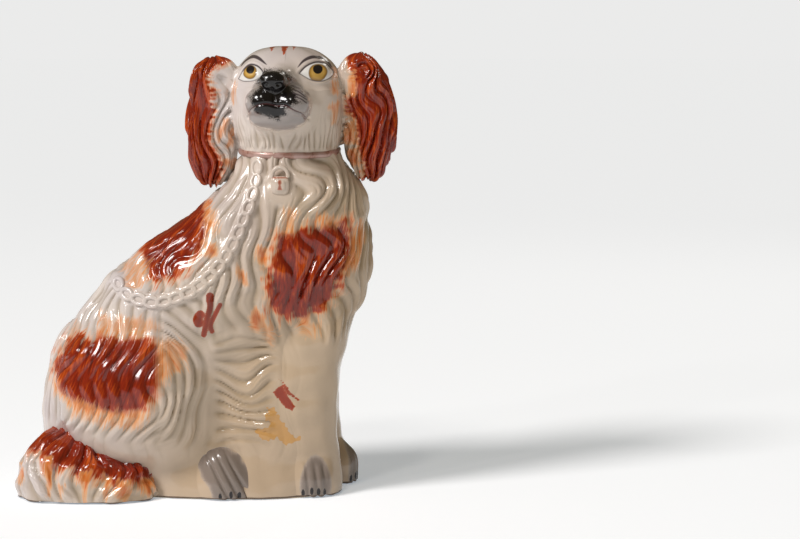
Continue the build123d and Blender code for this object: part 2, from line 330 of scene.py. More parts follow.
def fur(points):
    """The carved surface at any point of the figure below the neck: height in millimetres, and the flow of the
    hair as (across, along). It depends on place alone, so neighbouring pieces carry it across their joints."""
    x, y, z = np.moveaxis(points, -1, 0)
    # how far the surface has turned from the front; the second part keeps the two sides from mirroring
    turned = np.clip(36.0 - np.abs(y - SEAM_Y), 0.0, 40.0) + 1.7 * np.clip(y - SEAM_Y, 0.0, 18.0)
    wide = x + turned * 0.9 * np.tanh((x - 20.0) / 25.0)
    plain = 1.0 - 0.45 * smooth(4.0, 22.0, y)
    chain_gap, _ = near_line(x, z, CHAIN_LINE)
    # signed side of the chain: the saddle lies above and behind it
    chain_z = np.interp(x, [-72, -60, -28, -1, 18, 31, 38, 60], [168, 153, 143, 155, 176, 204, 226, 300])
    above_chain = smooth(-4, 4, z - chain_z) * (1.0 - smooth(34, 40, x))
    layers = []

    # chest: long locks that fall from the collar and fan out a little
    spread = (wide - 62.0) * (1.0 - 0.0022 * (z - 150.0))
    bow = 7.0 * np.sin((z - 120.0) / 21.0)
    chest = (1.0 - above_chain) * smooth(112, 126, z + 5.0 * np.sin(x / 6.5)) * smooth(-12, 2, x)
    layers.append((chest, 2.9, spread + 0.35 * bow, -z, 10.5, 52.0, 3.4, 11))

    # saddle: locks that run down and back from the spine to the chain
    slant = 0.88 * wide - 0.47 * z
    run = -0.47 * wide - 0.88 * z
    layers.append((above_chain, 2.2, slant, run, 10.0, 46.0, 2.6, 23))

    # thigh: leaning locks behind, turning into nested bows at the front
    from_haunch = np.hypot(x - HAUNCH_X, z - HAUNCH_Z)
    angle = np.arctan2(z - HAUNCH_Z, x - HAUNCH_X)
    low = 1.0 - above_chain
    thigh = low * (1.0 - smooth(-2, 6, x)) * smooth(40, 54, z + 0.12 * (x + 50.0))
    bows = smooth(-36, -22, x)
    lean = 0.95 * wide - 0.30 * z
    layers.append((thigh * (1.0 - bows), 2.5, lean, -0.30 * wide - 0.95 * z, 9.5, 60.0, 3.4, 37))
    layers.append((thigh * bows, 2.3, from_haunch, 44.0 * angle, 8.0, 70.0, 1.4, 41))

    # feather behind the near foreleg: short wavy ridges that lie almost level
    feather = smooth(5, 13, x) * (1.0 - smooth(44, 54, x)) * smooth(34, 48, z) * (1.0 - smooth(112, 124, z))
    feather = feather * (1.0 - smooth(0, 20, y))
    ridge_z = z + 2.6 * np.sin(x / 8.5 + z / 17.0) + 0.10 * (x - 30.0)
    layers.append((feather, 2.3, ridge_z, x, 8.2, 64.0, 0.8, 53))

    # rump below the thigh and the back of the figure: shallow folds
    rest = (1.0 - smooth(60, 78, x)) * smooth(14, 40, z) * 0.35 * low
    layers.append((rest * (1.0 - thigh) * (1.0 - feather) * (1.0 - chest), 1.2, wide, -z, 13.0, 60.0, 3.0, 61))

    height, across, along, tone = np.zeros((4, *x.shape))
    weight = np.full(x.shape, 1e-6)
    for share, deep, a, b, width, length, wave, seed in layers:
        shape = locks(a, b, width, length, wave, seed)
        height += share * deep * (shape - 0.55)
        tone += share * shape
        across += share * a
        along += share * b
        weight += share
    from_lock = np.hypot(x - LOCK_X, (z - LOCK_Z) * 0.8)
    smooth_band = 1.0 - smooth(4.0, 7.0, chain_gap) * smooth(9.0, 13.0, from_lock)
    smooth_band = np.where(y < SEAM_Y + 10, smooth_band, 0.0)
    tone = tone / np.maximum(weight, 1.0) + (1.0 - np.clip(weight, 0, 1)) * 0.7
    tone = tone * (1 - smooth_band) + 0.75 * smooth_band
    swell = 0.5 * ripple(wide, z, 26.0, 71)
    raised = 1.3 * (1.0 - smooth(2.5, 5.5, chain_gap)) * (y < SEAM_Y + 10)
    height = 1.25 * height * (1.0 - smooth_band) / np.maximum(weight, 1.0) * plain + swell + raised
    return height, np.stack([across, along], -1) / np.maximum(weight, 1e-3)[..., None], tone


# painted patches, as outlines in (x, z) seen from the decorated side
CHEST_PATCH = [(55, 189), (65, 191), (77, 195), (89, 197), (101, 199), (106, 184), (105, 172), (97, 161),
               (93, 150), (87, 141), (79, 136), (70, 131), (62, 132), (50, 139), (48, 154), (50, 171),
               (53, 180)]
SADDLE_PATCH = [(-46, 186), (-30, 198), (-13, 210), (-3, 216), (1, 207), (3, 197), (1, 187), (-7, 175),
                (-10, 168), (-16, 164), (-25, 160), (-32, 158), (-38, 163), (-43, 172)]
HAUNCH_PATCH = [(-92, 117), (-76, 114), (-71, 118), (-60, 116), (-45, 117), (-34, 113), (-29, 105), (-30, 90),
                (-34, 78), (-41, 69), (-57, 65), (-72, 68), (-86, 69), (-96, 75), (-105, 82), (-109, 90),
                (-105, 99), (-101, 108)]
SMALL_WASHES = [
    [(25, 170), (31, 163), (33, 155), (29, 157), (25, 164)],
    [(40, 184), (46, 180), (46, 169), (41, 171), (39, 178)],
    [(1, 186), (10, 184), (11, 176), (3, 175)],
    [(112, 199), (115, 190), (112, 172), (109, 184)],
    [(34, 132), (38, 139), (43, 132), (40, 121), (35, 123)],
]
# broad tints, fainter than the washes
BLUSHES = [
    [(42, 123), (48, 129), (52, 121), (48, 111)],
    [(69, 129), (82, 126), (79, 117), (69, 120)],
    [(60, 207), (67, 207), (65, 192), (58, 191)],
    [(82, 203), (95, 203), (97, 196), (81, 195)],
    [(106, 186), (109, 193), (110, 170), (104, 166), (101, 163)],
    [(1, 209), (9, 206), (11, 193), (4, 186), (2, 196)],
    [(-59, 167), (-50, 171), (-39, 171), (-43, 154), (-52, 151), (-57, 157)],
    [(-30, 114), (-20, 116), (-12, 109), (-13, 95), (-29, 89), (-30, 102)],
    [(-75, 133), (-64, 130), (-36, 130), (-30, 124), (-43, 120), (-72, 120)],
    [(-99, 75), (-57, 66), (-36, 66), (-43, 54), (-92, 61)],
    [(-111, 82), (-105, 85), (-101, 75), (-109, 72)],
]
# crisp dabs of rust red under the chain, as brush strokes: a short line and half its width
BLOTS = [
    (curve_points([(6, 146), (6, 139), (4, 132), (1, 119)], 5), 2.0),
    (curve_points([(13, 141), (9, 133), (6, 126), (7, 121)], 5), 1.6),
    (curve_points([(-1, 134), (-3, 131), (-2, 128)], 5), 3.2),
    (curve_points([(6, 147.5), (6, 145.5), (6, 144)], 5), 2.6),
]
# three dabs of the same red on the foreleg, and the place where its glaze has flaked off
STROKES = [[(49, 77), (52, 80), (56, 82), (60, 74), (65, 67), (63, 64), (58, 66), (54, 71)],
           [(55, 83), (57, 83), (63, 76), (69, 71), (67, 71), (60, 76)],
           [(53, 87), (54, 87), (61, 80), (60, 80)]]
FLAKE = [(45, 66), (50, 66), (54, 58), (58, 53), (62, 46), (66, 44), (69, 46), (68, 42), (64, 41), (58, 39),
         (55, 41), (52, 45), (48, 43), (43, 42), (39, 46), (36, 49), (37, 52), (41, 50), (46, 52), (47, 55),
         (43, 59), (46, 62)]
FAR = -40.0  # a painted distance that means nowhere near


def inside_any(x, z, outlines):
    """Signed distance to several closed outlines together."""
    return np.max([inside(x, z, outline) for outline in outlines], axis=0)


def body_paint(points):
    """Signed distances for the body's colours: red patches, thin orange washes and crisp rust-red blots."""
    x, y, z = np.moveaxis(points, -1, 0)
    wobble = 1.1 * ripple(x, z, 9.0, 91)
    behind = 0.9 * np.clip(y - SEAM_Y, 0.0, None)
    red = np.maximum(inside(x, z, CHEST_PATCH), inside(x, z, HAUNCH_PATCH)) - 3.0 * behind
    red = np.maximum(red, inside(x, z, SADDLE_PATCH) - behind) + wobble
    blush = np.minimum(0.45 * inside_any(x, z, BLUSHES) - 0.7, 0.1)
    wash = np.maximum(inside_any(x, z, SMALL_WASHES), blush) - 3.0 * behind
    dabs = np.max([half - near_line(x, z, line)[0] for line, half in BLOTS], axis=0)
    rust = inside_any(x, z, STROKES) + 0.3 * ripple(x, z, 3.0, 97)
    rust = np.maximum(rust, dabs) - 3.0 * behind
    bare = inside(x, z, FLAKE) + 0.8 * ripple(x, z, 5.0, 99) - 3.0 * behind
    return {key: np.clip(value, FAR, 40) for key, value in
            (("red", red), ("wash", wash), ("rust", rust), ("bare", bare))}


def write_mesh(name, points, quads, attributes=None, extra=()):
    """A mesh object in metres from points in millimetres, quads, further faces of other sizes, and named
    numbers or vectors for each point."""
    mesh = bpy.data.meshes.new(name)
    faces = [np.asarray(quads, np.int32).reshape(-1, 4)] + [np.asarray(f, np.int32) for f in extra]
    loops = np.concatenate([f.ravel() for f in faces])
    sizes = np.concatenate([np.full(len(f), f.shape[1], np.int32) for f in faces])
    mesh.vertices.add(len(points))
    mesh.vertices.foreach_set("co", (np.asarray(points, np.float32) * MM).ravel())
    mesh.loops.add(len(loops))
    mesh.loops.foreach_set("vertex_index", loops)
    mesh.polygons.add(len(sizes))
    mesh.polygons.foreach_set("loop_start", np.concatenate([[0], np.cumsum(sizes)[:-1]]).astype(np.int32))
    mesh.polygons.foreach_set("loop_total", sizes)
    mesh.polygons.foreach_set("use_smooth", np.ones(len(sizes), bool))
    mesh.update(calc_edges=True)
    for key, value in (attributes or {}).items():
        vector = value.size == 3 * len(points)
        made = mesh.attributes.new(key, "FLOAT_VECTOR" if vector else "FLOAT", "POINT")
        made.data.foreach_set("vector" if vector else "value", np.asarray(value, np.float32).ravel())
    mesh.validate()
    mesh.set_sharp_from_angle(angle=math.radians(70))
    return placed(name, mesh)


def grid_quads(rows, columns, wraps=False, first=0):
    """Point numbers of the quads of a grid, and of the strip that closes it if it wraps round."""
    number = first + np.arange(rows * columns).reshape(rows, columns)
    right = np.roll(number, -1, axis=1) if wraps else number[:, 1:]
    left = number if wraps else number[:, :-1]
    return np.stack([left[:-1], right[:-1], right[1:], left[1:]], -1).reshape(-1, 4)


def border(rows, columns, first=0):
    """Point numbers once round the edge of an open grid."""
    number = first + np.arange(rows * columns).reshape(rows, columns)
    return np.concatenate([number[0, :-1], number[:-1, -1], number[-1, :0:-1], number[:0:-1, 0]])


def shell(name, outer, inner, finer, attributes):
    """A pressed shell, closed all round: a fine outer grid, a coarser inner grid that has every `finer`-th
    point of it, and a rim of triangles that joins their edges. Its upright edges lie on the seam."""
    outer[:, [0, -1], 1] = inner[:, [0, -1], 1] = SEAM_Y
    rows, columns = outer.shape[:2]
    inner = inner[::finer, ::finer]
    inner_rows, inner_columns = inner.shape[:2]
    outside = rows * columns
    points = np.concatenate([outer.reshape(-1, 3), inner.reshape(-1, 3)])
    skin = grid_quads(rows, columns)
    lining = grid_quads(inner_rows, inner_columns, first=outside)[:, ::-1]
    edge = border(rows, columns)
    lip = border(inner_rows, inner_columns, outside)
    near = lip[np.arange(len(edge)) // finer]
    fans = np.stack([np.roll(edge, -1), edge, near], -1)
    corners = edge[(np.arange(1, len(lip) + 1) * finer) % len(edge)]
    joins = np.stack([corners, lip, np.roll(lip, -1)], -1)
    lined = ((0, len(points) - outside), (0, 0))
    padded = {key: np.pad(value.reshape(outside, -1), lined, constant_values=FAR if value.ndim == 2 else 0.0)
              for key, value in attributes.items()}
    return write_mesh(name, points, np.concatenate([skin, lining]), padded, [np.concatenate([fans, joins])])


def hair(flow, tone):
    """The attributes of every glazed piece: the flow of the hair as a vector, and the tone of the glaze, low in
    the cuts, where it browns as pooled glaze and painted shade.
    """
    return {"flow": np.concatenate([flow, np.zeros(flow.shape[:-1] + (1,))], axis=-1), "tone": tone}


def carved(base, height, wraps=False):
    """The skin moved out along its normals by `height`, and kept off the table."""
    outer = base + facing(base, wraps) * height[..., None]
    outer[..., 2] = np.clip(outer[..., 2], FOOT_Z * 0.5, None)
    return outer


def body_half(name, start_turn, end_turn, columns, rows, finer):
    """One half of the body: points start on a wide oval at each height and walk inwards to the skin."""
    heights = np.linspace(FOOT_Z, NECK_Z + 1.5, rows)[:, None]
    turn = np.linspace(start_turn, end_turn, columns)[None, :]
    middle_x, _, half_x, _ = section_at(heights, TRUNK)
    level = 0.0 * (heights + turn)
    heading = np.stack([np.cos(turn) + level, np.sin(turn) + level, level], -1)
    start = np.stack([middle_x + (half_x + 42.0) * np.cos(turn), SEAM_Y + 90.0 * np.sin(turn) + level,
                      heights + level], -1)
    base = land(start, -heading, body_field)
    height, flow, tone = fur(base)
    return shell(name, carved(base, height), base - heading * WALL, finer, body_paint(base) | hair(flow, tone))


def mixed(tree, factor, first, second):
    """A mix of two colours or colour outputs."""
    return add_node(tree, "Mix", {0: factor, 6: first, 7: second}, data_type="RGBA").outputs[2]


def noise(tree, vector, scale, detail):
    """Soft clouds between 0 and 1."""
    return add_node(tree, "TexNoise", {"Vector": vector, "Scale": scale, "Detail": detail}).outputs["Fac"]


def ranged(tree, value, low, high, to_low=0.0, to_high=1.0):
    """A value carried from one range to another and held within it."""
    ends = {"Value": value, "From Min": low, "From Max": high, "To Min": to_low, "To Max": to_high}
    return add_node(tree, "MapRange", ends).outputs["Result"]


def maths(tree, operation, *values):
    """One step of arithmetic on values or outputs."""
    return add_node(tree, "Math", dict(enumerate(values)), operation=operation).outputs[0]


def ramp(tree, value, stops):
    """Colour and cover outputs of a colour ramp of (position, (r, g, b, alpha)) stops."""
    made = add_node(tree, "ValToRGB", {"Fac": value})
    elements = made.color_ramp.elements
    elements[0].position, elements[0].color = stops[0]
    elements[1].position, elements[1].color = stops[-1]
    for position, colour in stops[1:-1]:
        elements.new(position).color = colour
    return made.outputs


def hexed(code, alpha=1.0):
    """A linear colour from an sRGB hex code."""
    parts = [int(code[i:i + 2], 16) / 255 for i in (0, 2, 4)]
    return tuple(c / 12.92 if c <= 0.04045 else ((c + 0.055) / 1.055) ** 2.4 for c in parts) + (alpha,)


def layer(attribute, reach, fray, speckle, *stops):
    """A painted layer: attribute, reach in millimetres either side of its edge, fray along the hair, fray all
    ways, and (position, colour, cover) stops from outside (0) to inside (1)."""
    return attribute, reach, fray, speckle, [(at, hexed(code, cover)) for at, code, cover in stops]


def begin_finish(name):
    """A new material, its node tree, its shader, and the place on the figure."""
    material = bpy.data.materials.new(name)
    material.use_nodes = True
    tree = material.node_tree
    return material, tree, tree.nodes["Principled BSDF"], add_node(tree, "TexCoord").outputs["Object"]


def give_skin(tree, shader, colour, rough, dips, strength, deep, **even):
    """Links a finish's colour, roughness and fine bump, and sets what is the same all over it."""
    bump = add_node(tree, "Bump", {"Height": dips, "Strength": strength, "Distance": deep})
    for key, output in (("Base Color", colour), ("Roughness", rough), ("Normal", bump.outputs["Normal"])):
        tree.links.new(output, shader.inputs[key])
    for key, value in even.items():
        shader.inputs[key.replace("_", " ")].default_value = value


# the third of these four browns the cuts as pooled glaze and painted shade; the fourth is painted shade towards
# the chest and foot
CREAM, LAVENDER, POOLED_GLAZE_AND_SHADE, SHADE_TINT = hexed("dcd2ca"), hexed("cbc3c3"), hexed("8d7a5e"), hexed("b59c7c")
# the last colour of this row darkens a line along the foot, just above the table
THIN_RED, THICK_RED, SPECK, FOOT_LINE_TINT = hexed("c8571a"), hexed("4a1208"), hexed("2b2320"), hexed("5b4939")
RED_PATCH = layer("red", 9.0, 3.6, 0.0, (0.05, "f0c9a6", 0.0), (0.24, "e9b184", 0.38), (0.37, "d98848", 0.66),
                  (0.46, "bd5220", 0.93), (0.55, "8e2b10", 1.0), (1.0, "80210c", 1.0))
WASH = layer("wash", 3.0, 1.6, 0.0, (0.18, "f0c49c", 0.0), (0.50, "e09a5c", 0.6), (1.0, "c96a2b", 0.9))
RUST = layer("rust", 1.0, 0.0, 0.25, (0.40, "a3481f", 0.0), (0.56, "9a3d1a", 0.95), (1.0, "8a2f14", 1.0))
BARE = layer("bare", 0.6, 0.0, 0.06, (0.40, "b98a4e", 0.0), (0.58, "bb8d54", 1.0), (1.0, "bf9259", 1.0))


def painted_glaze(name, layers, gloss=0.13):
    """Cream lead glaze over pale earthenware, thicker and browner in the cuts of the hair as pooled glaze and
    painted shade, tinted tan towards the chest and the foot as painted shade, with brushed enamel layers on
    top, a few black kiln specks, a dark line along the foot and the slight unevenness of a dipped glaze."""
    material, tree, shader, place = begin_finish(name)
    flow = add_node(tree, "Attribute", attribute_name="flow").outputs["Vector"]
    tone = add_node(tree, "Attribute", attribute_name="tone").outputs["Fac"]
    cloud = ranged(tree, noise(tree, place, 17.0, 2.0), 0.35, 0.65)
    grain = noise(tree, place, 1700.0, 2.0)
    # brush marks: clouds drawn out along the hair, fine and broad
    fine = add_node(tree, "VectorMath", {0: flow, 1: (0.95, 0.09, 0.0)}, operation="MULTIPLY").outputs[0]
    broad = add_node(tree, "VectorMath", {0: flow, 1: (0.28, 0.05, 0.0)}, operation="MULTIPLY").outputs[0]
    streak, strokes = noise(tree, fine, 1.0, 3.0), noise(tree, broad, 1.0, 2.0)

    # cream, tinted tan towards the chest and the foot as painted shade, and browner in the cuts as pooled glaze
    # and painted shade
    spot = add_node(tree, "SeparateXYZ", {"Vector": place}).outputs
    colour = mixed(tree, cloud, CREAM, LAVENDER)
    low = maths(tree, "MULTIPLY_ADD", spot["Z"], -0.6, spot["X"])
    colour = mixed(tree, ranged(tree, low, -0.16, -0.02, 0.0, 0.85), colour, SHADE_TINT)
    # pooled glaze and painted shade: where the tone is low, in the cuts, the cream goes towards brown
    colour = mixed(tree, ranged(tree, tone, 0.62, 0.12, 0.0, 0.55), colour, POOLED_GLAZE_AND_SHADE)
    for attribute, reach, fray, speckle, stops in layers:
        edge = add_node(tree, "Attribute", attribute_name=attribute).outputs["Fac"]
        for marks, amount in ((streak, fray), (strokes, fray), (grain, speckle)):
            if amount:
                edge = maths(tree, "MULTIPLY_ADD", maths(tree, "ADD", marks, -0.5), 4.0 * amount, edge)
        paint = ramp(tree, ranged(tree, edge, -reach, reach), stops)
        coat = paint["Color"]
        if attribute == "red":
            thin = maths(tree, "MULTIPLY_ADD", tone, 0.35, maths(tree, "ADD", streak, strokes))
            coat = mixed(tree, ranged(tree, thin, 1.22, 1.62), coat, THIN_RED)
            coat = mixed(tree, ranged(tree, thin, 1.12, 0.86, 0.0, 0.8), coat, THICK_RED)
        colour = mixed(tree, paint["Alpha"], colour, coat)

    # kiln specks in one cell of six, and a dark line along the foot, just above the table
    specks = add_node(tree, "TexVoronoi", {"Vector": place, "Scale": 48.0}).outputs
    rare = add_node(tree, "SeparateColor", {"Color": specks["Color"]}).outputs["Red"]
    dot = ranged(tree, specks["Distance"], 0.026, 0.014)
    colour = mixed(tree, maths(tree, "MULTIPLY", dot, maths(tree, "LESS_THAN", rare, 0.16)), colour, SPECK)
    foot_line_top = maths(tree, "MULTIPLY_ADD", cloud, 0.0012, 0.0011)
    colour = mixed(tree, maths(tree, "LESS_THAN", spot["Z"], foot_line_top), colour, FOOT_LINE_TINT)
    give_skin(tree, shader, colour, ranged(tree, cloud, 0.0, 1.0, gloss, gloss + 0.07),
              noise(tree, place, 170.0, 1.0), 0.22, 0.0006, IOR=1.46, Coat_Weight=0.15, Coat_Roughness=0.05)
    return material


def finish_piece(piece, material, node):
    """Gives a piece its finish, hangs it on the body it rides on and hides the CAD node it stands for."""
    piece.data.materials.append(material)
    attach(piece, "root")
    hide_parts(node)


body_glaze = painted_glaze("cream_glaze_body", [RED_PATCH, WASH, RUST, BARE])
for node, start, columns, rows in (("body_front_half", -math.pi, 421, 217), ("body_back_half", 0.0, 301, 151)):
    half = body_half(node + "_pressed", start, start + math.pi, columns, rows, 6)
    finish_piece(half, body_glaze, node)

# ------------------------------------------------------------------------------
# Forelegs: pressed separately and luted on under the chest, with the paws in one with them. The leg fronts
# are smooth, the paws are grey enamel with a black claw on each toe, and one leg has lost a flake of glaze.

RIGHT_LEG = np.array([
    (-20.0, 53.0, 97.0, -31.0, 12.0),
    (16.0, 53.0, 97.0, -31.0, 12.0),
    (36.0, 51.0, 94.5, -31.0, 10.0),
    (64.0, 49.0, 94.5, -35.0, 10.0),
    (96.0, 50.0, 98.0, -37.0, 12.0),
    (120.0, 54.0, 104.0, -37.0, 14.0),
    (150.0, 56.0, 104.0, -30.0, 14.0),
])
LEFT_LEG = np.array([
    (-20.0, 68.0, 101.0, 14.0, 47.0),
    (16.0, 68.0, 101.0, 14.0, 47.0),
    (36.0, 66.0, 96.0, 15.0, 46.0),
    (64.0, 63.0, 94.0, 15.0, 46.0),
    (96.0, 64.0, 97.0, 14.0, 46.0),
    (120.0, 66.0, 104.0, 12.0, 45.0),
    (150.0, 66.0, 104.0, 10.0, 42.0),
])
SUNK = 0.5  # how far a limb's fillet dives under the skin it grows from
GREY = layer("grey", 2.6, 0.5, 0.5, (0.30, "a89f97", 0.0), (0.50, "9c918a", 0.7), (0.75, "877b74", 0.9),
             (1.0, "7d726b", 0.92))
BLACK = layer("black", 0.5, 0.0, 0.06, (0.35, "1d1818", 0.0), (0.65, "1d1818", 1.0), (1.0, "171213", 1.0))


def crowded(low, high, count, crowd):
    """Evenly rising numbers, drawn together towards the middle by a share `crowd` of a sine wave."""
    share = np.linspace(-1.0, 1.0, count)
    return (low + high) / 2 + (high - low) / 2 * (share - crowd / np.pi * np.sin(np.pi * share))


def wrap(field, centre, reach, rows, columns, turn=None, pole="z", margin=0.03, crowd=0.0):
    """Grid of skin points over a rounded piece. Rows run from pole to pole and columns round it; each point
    starts on an ellipsoid with half sizes `reach` and walks straight back along its heading to the skin."""
    polar = crowded(margin, np.pi - margin, rows, crowd)[:, None]
    if turn is None:
        around = np.linspace(-np.pi, np.pi, columns, endpoint=False)[None, :]
    else:
        around = crowded(turn[0], turn[1], columns, crowd)[None, :]
    parts = [np.sin(polar) * np.cos(around), np.sin(polar) * np.sin(around), -np.cos(polar) + 0 * around]
    if pole == "x":
        parts = [parts[2], parts[0], parts[1]]
    heading = np.stack(parts, -1)
    start = np.array(centre) + np.array(reach) * heading
    return land(start, -heading, field), heading


def closed_skin(name, grid, attributes):
    """A closed mesh from a grid that wraps round, with one face over each pole."""
    rows, columns = grid.shape[:2]
    number = np.arange(rows * columns).reshape(rows, columns)
    ends = [number[:1, ::-1], number[-1:]]
    return write_mesh(name, grid.reshape(-1, 3), grid_quads(rows, columns, True), attributes, ends)


def grafted(limb, points, soft, host=body_field):
    """Distance to a limb with a fillet onto the skin of the body or head. It keeps only what lies close to the
    limb itself, and is cut off level at the foot of the figure."""
    joined = union(limb, host(points) + SUNK + 0.15 * np.clip(limb, 0.0, None), soft)
    return np.maximum(np.maximum(joined, limb - soft - 2.0), FOOT_Z - points[..., 2])


def toes(points, centre, spread, top):
    """Grooves between the toes of a paw, in millimetres: bowed lines that run up from the ground."""
    x, _, z = np.moveaxis(points, -1, 0)
    bowed = x - centre - 0.34 * spread * (1.0 - (z / top) ** 2)
    cuts = sum(np.exp(-((bowed - spread * place) / 1.3) ** 2) for place in (-0.62, 0.02, 0.62))
    return -1.3 * cuts * (1.0 - smooth(0.55 * top, 0.95 * top, z))


def claws(points, centre, spread, ground=5.5):
    """Signed distance to the claws: small ovals at the tips of the toes."""
    x, _, z = np.moveaxis(points, -1, 0)
    best = np.full(x.shape, FAR)
    for place in (-0.75, -0.05, 0.5, 1.0):
        gap = 1.25 - np.hypot((x - centre - spread * place), (z - ground + 2.0 * abs(place)) * 0.42)
        best = np.maximum(best, gap)
    return best


def leg_form(points, sections, paw_x, paw_y):
    """Distance to a leg and its paw."""
    leg = union(stack(points, sections, 2.4), egg(points, (paw_x, paw_y, 9), (15, 16, 20), 2.2), 6)
    return np.maximum(leg, points[..., 2] - 142.0)


def foreleg(name, sections, centre, paw_x, paw_y, toe_turn):
    """One foreleg with its paw."""
    def field(points):
        return grafted(leg_form(points, sections, paw_x, paw_y), points, 9)

    base, _ = wrap(field, centre, (52, 50, 96), 190, 200)
    height, flow, tone = fur(base)
    x, y, z = np.moveaxis(base, -1, 0)
    across = (x - paw_x) * np.cos(toe_turn) + (y - paw_y) * np.sin(toe_turn)
    local = np.stack([across, y, z], -1)
    outside = smooth(-18, -14, across)
    dig = toes(local, 0.0, 10.0, 30.0) * outside * (1.0 - smooth(10, 15, np.abs(across)))
    from_paw = np.hypot((across - 2.2) / (11.5 - 0.06 * z), (z - 11.0) / 19.0)
    toward = -(x - paw_x) * np.sin(toe_turn) + (y - paw_y) * np.cos(toe_turn)
    grey = np.where(toward < 2.0, (1.0 - from_paw) * 13.0, FAR)
    black = np.where(toward < 0.0, claws(local, 0.0, 9.0), FAR)
    attributes = body_paint(base) | hair(flow, tone) | {"grey": grey, "black": black}
    return closed_skin(name, carved(base, height + dig, True), attributes)


leg_glaze = painted_glaze("cream_glaze_legs", [RED_PATCH, WASH, RUST, GREY, BLACK, BARE])
for node, *form in (("right_foreleg", RIGHT_LEG, (74, -11, 70), 77.0, -20.0, 0.0),
                    ("left_foreleg", LEFT_LEG, (82, 30, 70), 94.0, 26.0, math.radians(62))):
    finish_piece(foreleg(node + "_pressed", *form), leg_glaze, node)

# ------------------------------------------------------------------------------
# Hind paws: small pressed pads luted to the foot of each thigh, grey with black claws like the forepaws.

HIND_PAW_X = 14.0
HIND_PAW_HALVES = (20.0, 17.0, 27.0)
HIND_GREY = [(-6, 25), (1, 36), (11, 38), (25, 32), (32, 20), (35, 6), (30, -4), (9, -4), (4, 10), (-2, 17)]


def hind_paw(name, y, side):
    """One hind paw; side is -1 on the decorated side and 1 on the plain one."""
    def field(points):
        return grafted(egg(points, (HIND_PAW_X, y, 9), HIND_PAW_HALVES, 2.2, tilt(-12)), points, 4)

    base, _ = wrap(field, (HIND_PAW_X, y, 12), (36, 36, 42), 120, 170)
    height, flow, tone = fur(base)
    px, py, pz = np.moveaxis(base, -1, 0)
    outward = smooth(-2.0, 4.0, side * (py - y) + 6.0)
    leaning = np.stack([px + 0.45 * (pz - 8.0), py, pz], -1)
    dig = 1.3 * toes(leaning, HIND_PAW_X + 4.0, 12.0, 40.0) * outward
    grey = np.where(side * (py - y) > -6.0, inside(px, pz, HIND_GREY) + 0.5 * ripple(px, pz, 8.0, 101), FAR)
    black = np.where(side * (py - y) > 0.0, claws(base, HIND_PAW_X + 6.0, 11.0, 4.5), FAR)
    attributes = dict.fromkeys(("red", "wash", "rust", "bare"), np.full(px.shape, FAR))
    attributes |= hair(flow, 0.55 + 0.35 * tone) | {"grey": grey, "black": black}
    return closed_skin(name, carved(base, height + dig, True), attributes)


for node, y, side in (("right_hind_paw", -29.0, -1.0), ("left_hind_paw", 38.0, 1.0)):
    finish_piece(hind_paw(node + "_pressed", y, side), leg_glaze, node)

# ------------------------------------------------------------------------------
# Tail: a thick bush that curls forward round the haunch, pressed separately. Its deep locks hang to the table,
# iron red above and cream below, where the red has run down in orange streaks.

TAIL_RED = [(-145, 70), (-20, 70), (-26, 12), (-38, 13), (-51, 16), (-61, 15), (-67, 19), (-75, 20), (-82, 16),
            (-88, 21), (-93, 27), (-103, 27), (-108, 22), (-112, 30), (-117, 38), (-127, 34), (-145, 36)]
TAIL_DRIPS = [[(-111, 32), (-106, 32), (-107, 14), (-109, 6)], [(-102, 14), (-98, 14), (-100, 3)],
              [(-86, 22), (-79, 22), (-81, 8), (-82, 0)], [(-70, 20), (-65, 18), (-67, 5), (-68, 2)],
              [(-59, 16), (-52, 16), (-50, 8), (-55, 1), (-61, 5)], [(-43, 16), (-36, 15), (-38, 5), (-42, 4)],
              [(-134, 24), (-128, 22), (-131, 12)]]


def bush(points):
    """Distance to the tail: two rounded masses, the taller one behind."""
    tall, low = egg(points, (-99, -17, 6), (37, 39, 42), 2.3), egg(points, (-69, -23, 2), (36, 33, 33), 2.3)
    return union(tall, low, 9)


def tail_piece():
    """The tail with its carved locks."""
    base, _ = wrap(lambda points: grafted(bush(points), points, 3), (-86, -18, 10), (72, 62, 60), 200, 380)
    from_bush = smooth(0.6, 3.0, bush(base))
    x, y, z = np.moveaxis(base, -1, 0)
    turned = np.clip(y + 46.0, 0.0, 90.0)
    wide = x + 0.85 * turned * np.tanh((x + 86.0) / 18.0)
    lean = wide + 3.5 * np.sin(z / 9.0 + wide / 15.0)
    shape = locks(lean, -z + 0.25 * wide, 12.5, 46.0, 3.6, 83)
    fade = smooth(0, 8, z) * (1.0 - 0.6 * smooth(20, 50, y))
    height = fade * (4.0 * (shape - 0.5)) + 0.8 * ripple(wide, z, 16.0, 84)
    height = height * (1.0 - from_bush) + fur(base)[0] * from_bush
    behind = np.clip(y - 18.0, 0.0, None)
    red = inside(x, z, TAIL_RED) + ripple(x, z, 8.0, 95) - 0.9 * behind
    wash = inside_any(x, z, TAIL_DRIPS) - 3.0 * behind
    attributes = dict.fromkeys(("rust", "bare"), np.full(x.shape, FAR)) | hair(np.stack([lean, -z], -1), shape)
    attributes |= {"red": np.clip(red, FAR, 40), "wash": np.clip(wash, FAR, 40)}
    return closed_skin("tail_pressed", carved(base, height, True), attributes)


finish_piece(tail_piece(), body_glaze, "tail")

# ------------------------------------------------------------------------------
# Head halves: two pressed shells that meet at the same upright seam as the body, luted onto its neck. The face
# has a short upturned muzzle; its eyes, brows, nose and lips are brushed and sponged on in enamel colours.

CROWN_Z = 322.0
NECK = np.array([
    (236.0, 24.4, 95.6, -32.2, 39.2),
    (246.0, 24.4, 95.6, -32.2, 39.2),
    (262.0, 22.0, 97.0, -34.0, 41.0),
    (300.0, 22.0, 97.0, -34.0, 41.0),
])
